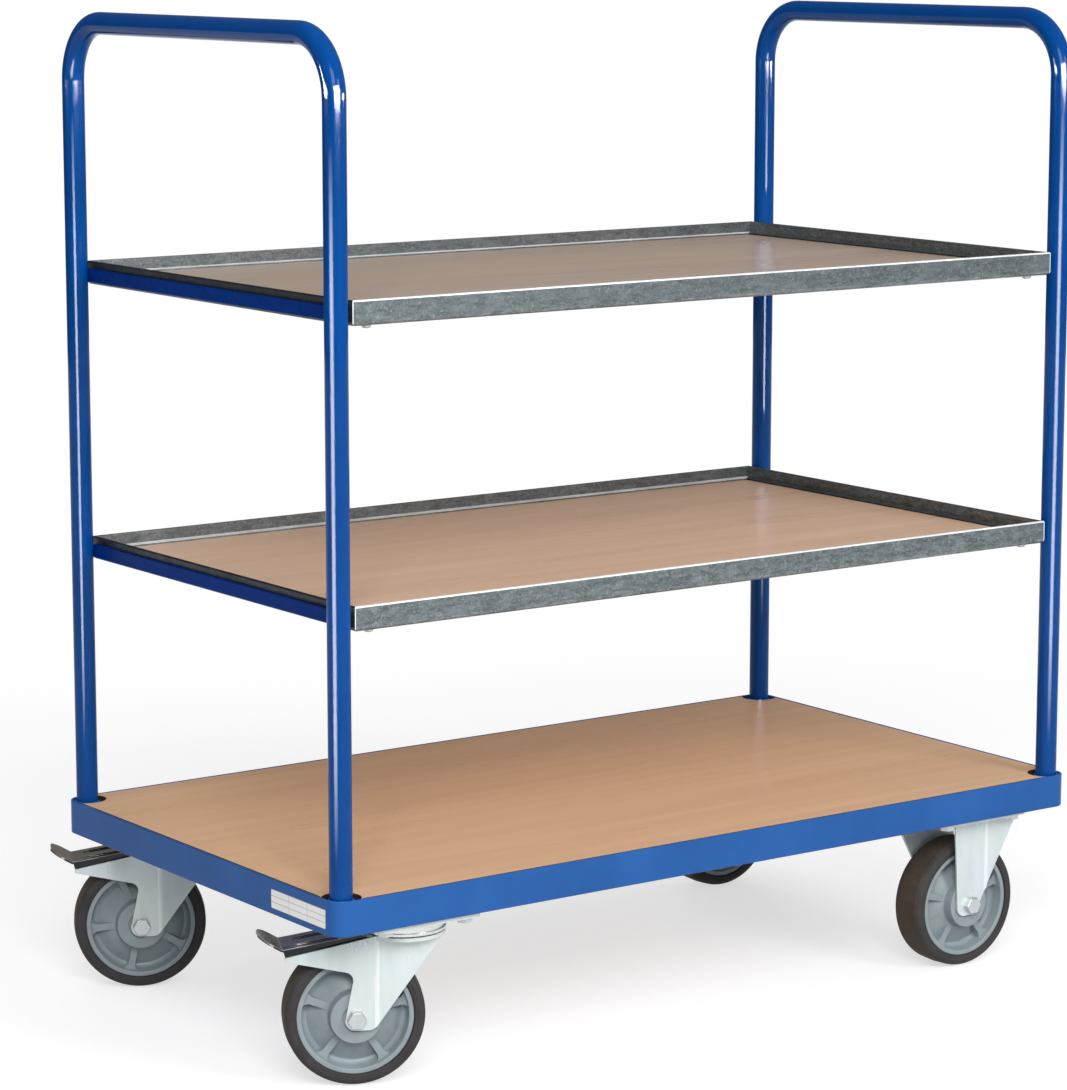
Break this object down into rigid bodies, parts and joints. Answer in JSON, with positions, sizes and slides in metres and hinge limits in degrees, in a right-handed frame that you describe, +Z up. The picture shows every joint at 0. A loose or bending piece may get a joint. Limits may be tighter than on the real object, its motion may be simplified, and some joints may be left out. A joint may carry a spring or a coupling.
{
  "type": "shelf trolley",
  "caption": "Shelf trolley with a wooden deck, rimmed shelves between tubular end handles, and swivel castors with brake pedals at one end and fixed castors at the other.",
  "frame": {"origin": "on the floor, under the middle of the deck", "axes": "+X along the trolley towards the fixed castors, +Y across it, +Z up"},
  "size_m": [1.1039, 0.6353, 1.178],
  "materials": {
    "blue_paint": "gloss powder coat",
    "galvanised_sheet": "galvanised, mottled",
    "beech_board": "satin beech decor",
    "zinc_steel": "zinc plated, satin",
    "bright_steel": "zinc plated, bright",
    "pedal_chrome": "polished",
    "brake_rubber": "matt",
    "tyre": "matt",
    "rim_plastic": "moulded",
    "bush_plastic": "moulded",
    "label_plate": "satin film"
  },
  "bodies": {
    "chassis": {"front_rail": "blue_paint", "rear_rail": "blue_paint", "left_end_rail": "blue_paint", "right_end_rail": "blue_paint", "corner_sockets": "blue_paint", "swivel_cross_member": "blue_paint", "fixed_cross_member": "blue_paint", "deck_bearer": "blue_paint", "deck_board": "beech_board", "left_end_bar": "blue_paint", "right_end_bar": "blue_paint", "left_lower_cross_bar": "blue_paint", "left_upper_cross_bar": "blue_paint", "right_lower_cross_bar": "blue_paint", "right_upper_cross_bar": "blue_paint", "lower_shelf_front_rail": "galvanised_sheet", "lower_shelf_rear_rail": "galvanised_sheet", "lower_shelf_end_rails": "galvanised_sheet", "lower_shelf_panel": "beech_board", "upper_shelf_front_rail": "galvanised_sheet", "upper_shelf_rear_rail": "galvanised_sheet", "upper_shelf_end_rails": "galvanised_sheet", "upper_shelf_panel": "beech_board", "shelf_screws": "bright_steel", "panel_screws": "bright_steel", "end_bar_screws": "bright_steel", "castor_bolts": "bright_steel", "blank_label": "label_plate", "swivel_balls": "bright_steel", "king_bolts": "bright_steel", "left_front_top_plate": "zinc_steel", "left_rear_top_plate": "zinc_steel", "right_front_fork": "zinc_steel", "right_front_axle": "bright_steel", "right_rear_fork": "zinc_steel", "right_rear_axle": "bright_steel"},
    "left_front_swivel": {"left_front_fork": "zinc_steel", "left_front_axle": "bright_steel", "left_front_pedal_pin": "bright_steel"},
    "left_front_pedal": {"left_front_pedal": "pedal_chrome", "left_front_brake_shoe": "brake_rubber"},
    "left_front_wheel": {"left_front_rim": "rim_plastic", "left_front_tyre": "tyre", "left_front_bush": "bush_plastic"},
    "left_rear_swivel": {"left_rear_fork": "zinc_steel", "left_rear_axle": "bright_steel", "left_rear_pedal_pin": "bright_steel"},
    "left_rear_pedal": {"left_rear_pedal": "pedal_chrome", "left_rear_brake_shoe": "brake_rubber"},
    "left_rear_wheel": {"left_rear_rim": "rim_plastic", "left_rear_tyre": "tyre", "left_rear_bush": "bush_plastic"},
    "right_front_wheel": {"right_front_rim": "rim_plastic", "right_front_tyre": "tyre", "right_front_bush": "bush_plastic"},
    "right_rear_wheel": {"right_rear_rim": "rim_plastic", "right_rear_tyre": "tyre", "right_rear_bush": "bush_plastic"}
  },
  "joints": [
    {"name": "left_front_swivel_turn", "type": "hinge", "parent": "chassis", "child": "left_front_swivel", "pos_m": [-0.41, -0.24, 0.17], "axis": [0, 0, 1], "continuous": true},
    {"name": "left_front_wheel_roll", "type": "hinge", "parent": "left_front_swivel", "child": "left_front_wheel", "pos_m": [-0.46123, -0.21501, 0.08], "axis": [-0.4384, -0.8988, 0], "continuous": true},
    {"name": "left_front_brake", "type": "hinge", "parent": "left_front_swivel", "child": "left_front_pedal", "pos_m": [-0.45224, -0.2194, 0.1665], "axis": [-0.4384, -0.8988, 0], "range_deg": [0, 10]},
    {"name": "left_rear_swivel_turn", "type": "hinge", "parent": "chassis", "child": "left_rear_swivel", "pos_m": [-0.41, 0.24, 0.17], "axis": [0, 0, 1], "continuous": true},
    {"name": "left_rear_wheel_roll", "type": "hinge", "parent": "left_rear_swivel", "child": "left_rear_wheel", "pos_m": [-0.46123, 0.26499, 0.08], "axis": [-0.4384, -0.8988, 0], "continuous": true},
    {"name": "left_rear_brake", "type": "hinge", "parent": "left_rear_swivel", "child": "left_rear_pedal", "pos_m": [-0.45224, 0.2606, 0.1665], "axis": [-0.4384, -0.8988, 0], "range_deg": [0, 10]},
    {"name": "right_front_wheel_roll", "type": "hinge", "parent": "chassis", "child": "right_front_wheel", "pos_m": [0.41, -0.24, 0.08], "axis": [0, -1, 0], "continuous": true},
    {"name": "right_rear_wheel_roll", "type": "hinge", "parent": "chassis", "child": "right_rear_wheel", "pos_m": [0.41, 0.24, 0.08], "axis": [0, -1, 0], "continuous": true}
  ]
}
